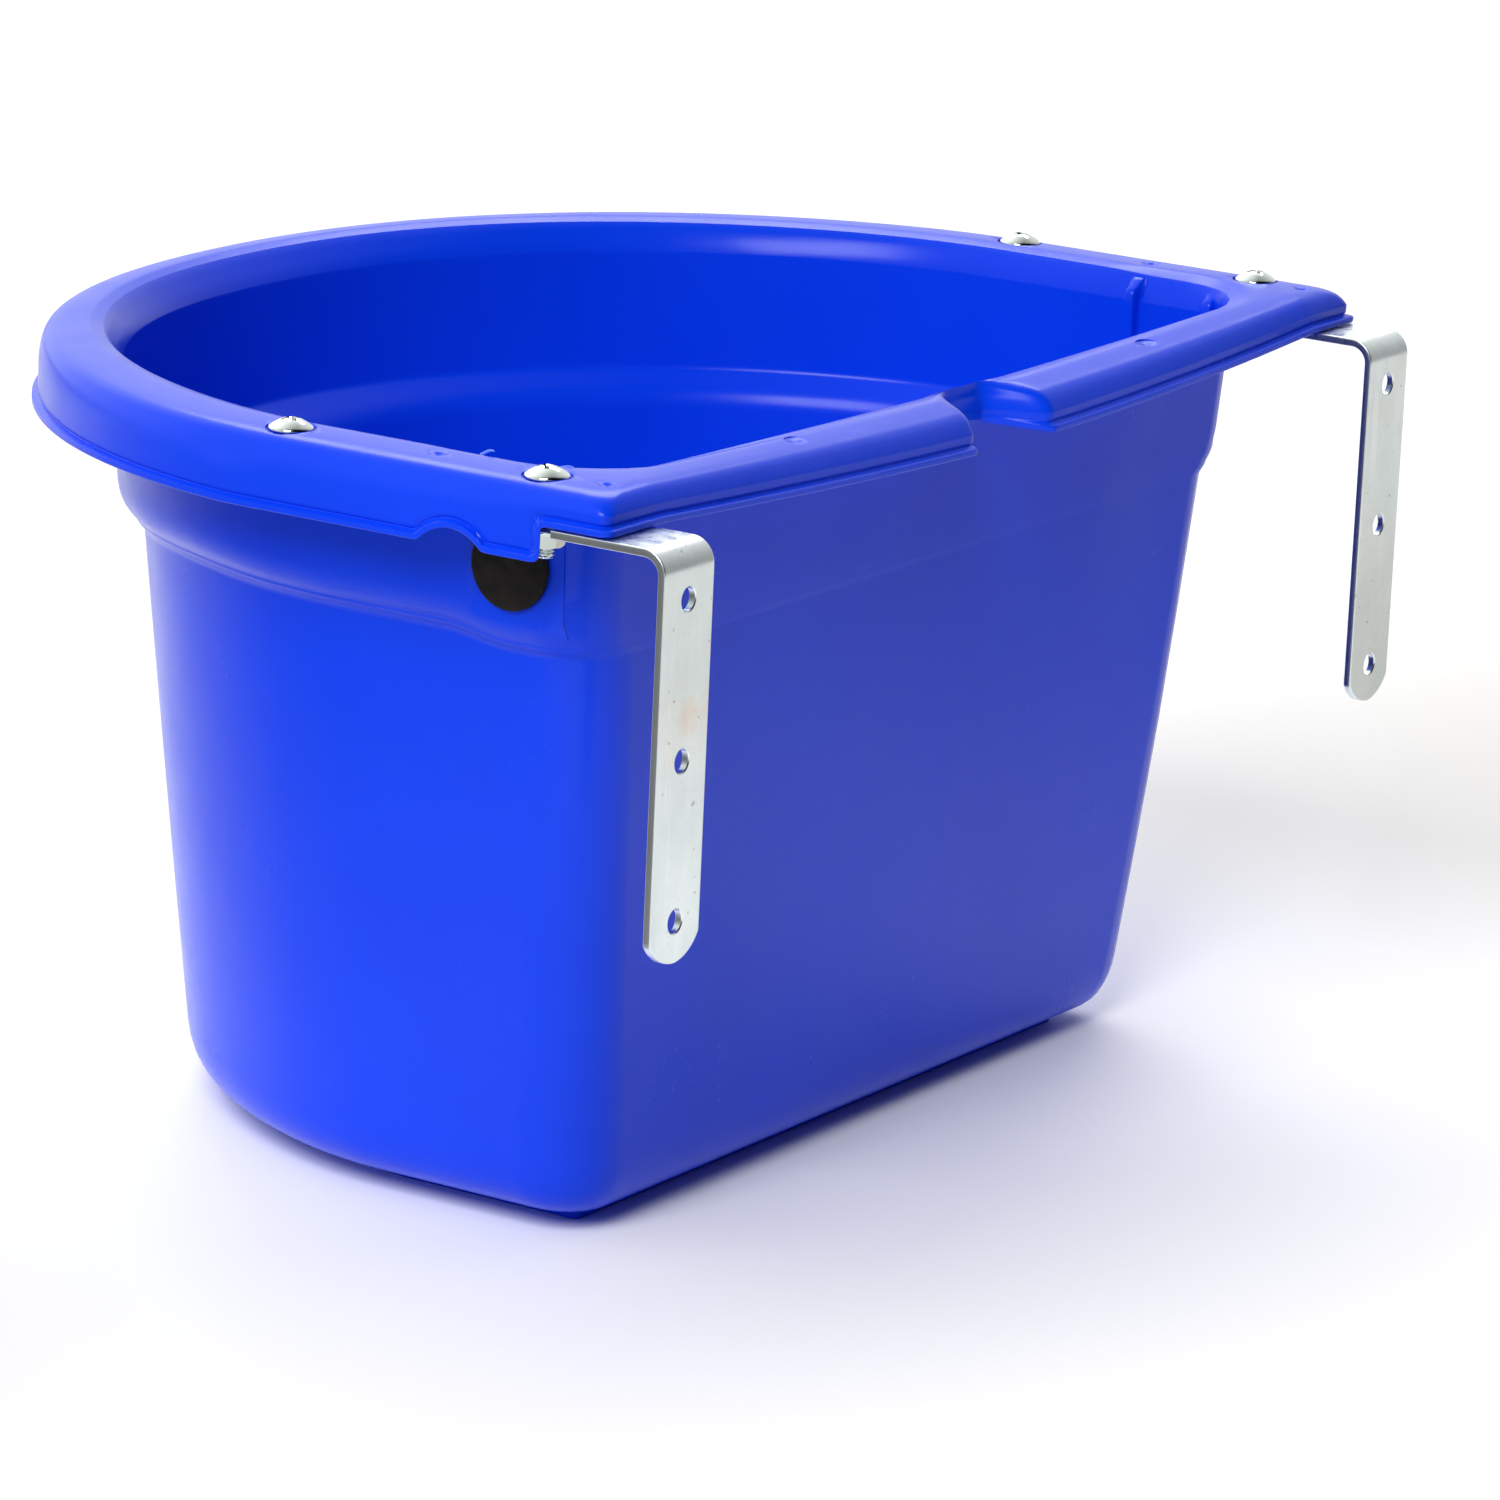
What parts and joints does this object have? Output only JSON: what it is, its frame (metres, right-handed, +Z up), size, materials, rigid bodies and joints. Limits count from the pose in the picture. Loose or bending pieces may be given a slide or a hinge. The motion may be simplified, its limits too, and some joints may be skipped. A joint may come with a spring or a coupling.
{
  "type": "feed bucket",
  "caption": "D-shaped stable feed bucket with a channel rim, two flat-bar hooks to hang it on a board, and a rubber plug in a side hole.",
  "frame": {"origin": "on the floor under the middle of the object's box, with the bucket standing on its foot", "axes": "+Z up; +Y towards the flat back, where the hanging brackets are; +X towards the side with the rubber plug; -Y towards the round front"},
  "size_m": [0.432, 0.3258, 0.2426],
  "materials": {
    "blue_plastic": "moulded polyethylene, satin gloss",
    "zinc_plate": "blue-white zinc plating, faint rolling lines",
    "bright_zinc": "bright zinc plating",
    "black_rubber": "matt moulded rubber"
  },
  "bodies": {
    "bucket": {"tub": "blue_plastic", "right_bracket": "zinc_plate", "left_bracket": "zinc_plate", "right_rear_screw": "bright_zinc", "right_front_screw": "bright_zinc", "left_rear_screw": "bright_zinc", "left_front_screw": "bright_zinc", "right_rear_nut": "bright_zinc", "right_front_nut": "bright_zinc", "left_rear_nut": "bright_zinc", "left_front_nut": "bright_zinc"},
    "plug": {"hole_plug": "black_rubber"}
  },
  "joints": [
    {"name": "plug_pull", "type": "slide", "parent": "bucket", "child": "plug", "axis": [1, 0, 0], "range_m": [0, 0.012]}
  ]
}
